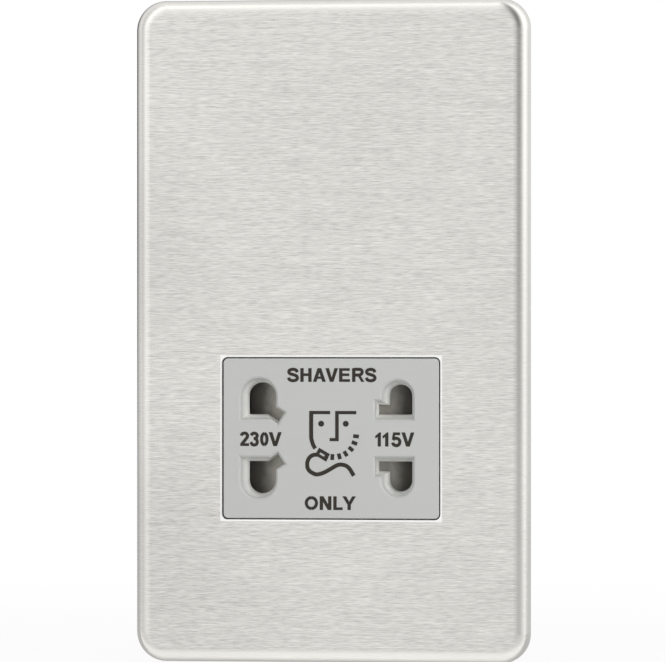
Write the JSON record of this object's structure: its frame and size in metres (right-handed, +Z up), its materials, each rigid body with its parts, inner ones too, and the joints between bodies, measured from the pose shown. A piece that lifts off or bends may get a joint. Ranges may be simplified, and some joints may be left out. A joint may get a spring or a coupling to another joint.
{
  "type": "shaver socket",
  "caption": "Two-gang upright wall socket for shavers with a brushed metal plate, grey insert, sliding shutter and isolating transformer behind.",
  "frame": {"origin": "on the wall's surface, midway between the two fixing holes, which is the centre of the plate", "axes": "+X to the right and +Z up as one faces the socket, +Y into the wall, so the plate faces -Y"},
  "size_m": [0.0892, 0.0426, 0.149],
  "materials": {
    "plate_metal": "horizontally brushed satin",
    "insert_plastic": "fine matt",
    "frame_plastic": "moulded",
    "shutter_plastic": "moulded",
    "spring_steel": "drawn wire",
    "carrier_plastic": "moulded",
    "contact_brass": "pressed",
    "housing_plastic": "moulded",
    "block_plastic": "moulded",
    "terminal_brass": "machined",
    "core_steel": "varnished laminations",
    "bobbin_plastic": "moulded",
    "copper_wire": "enamelled windings",
    "tape_film": "polyester film",
    "cutout_case": "moulded",
    "strap_steel": "zinc plated",
    "screw_steel": "bright zinc",
    "brown_sheath": "extruded",
    "blue_sheath": "extruded",
    "earth_sheath": "extruded, green and yellow",
    "red_sheath": "extruded",
    "white_sheath": "extruded",
    "black_sheath": "extruded"
  },
  "bodies": {
    "base": {"front_plate": "plate_metal", "mounting_frame": "frame_plastic", "socket_insert": "insert_plastic", "left_shutter_spring": "spring_steel", "right_shutter_spring": "spring_steel", "contact_carrier": "carrier_plastic", "high_upper_contact": "contact_brass", "high_lower_contact": "contact_brass", "low_upper_contact": "contact_brass", "low_lower_contact": "contact_brass", "common_link": "contact_brass", "rear_housing": "housing_plastic", "terminal_block": "block_plastic", "live_terminal": "terminal_brass", "neutral_terminal": "terminal_brass", "earth_terminal": "terminal_brass", "core_e": "core_steel", "core_i": "core_steel", "coil_bobbin": "bobbin_plastic", "primary_winding": "copper_wire", "secondary_winding": "copper_wire", "primary_tape": "tape_film", "secondary_tape": "tape_film", "thermal_cutout": "cutout_case", "lower_core_strap": "strap_steel", "upper_core_strap": "strap_steel", "housing_screws": "screw_steel", "strap_screws": "screw_steel", "terminal_screws": "screw_steel", "earth_clip": "contact_brass", "earth_lead": "earth_sheath", "live_lead": "brown_sheath", "neutral_lead": "blue_sheath", "secondary_high_lead": "red_sheath", "secondary_low_lead": "white_sheath", "secondary_common_lead": "black_sheath"},
    "shutter": {"shutter_slider": "shutter_plastic"}
  },
  "joints": [
    {"name": "shutter_slide", "type": "slide", "parent": "base", "child": "shutter", "axis": [1, 0, 0], "range_m": [-0.0084, 0.0084], "stiffness_N_per_m": 120, "deforming": ["left_shutter_spring", "right_shutter_spring"]}
  ]
}
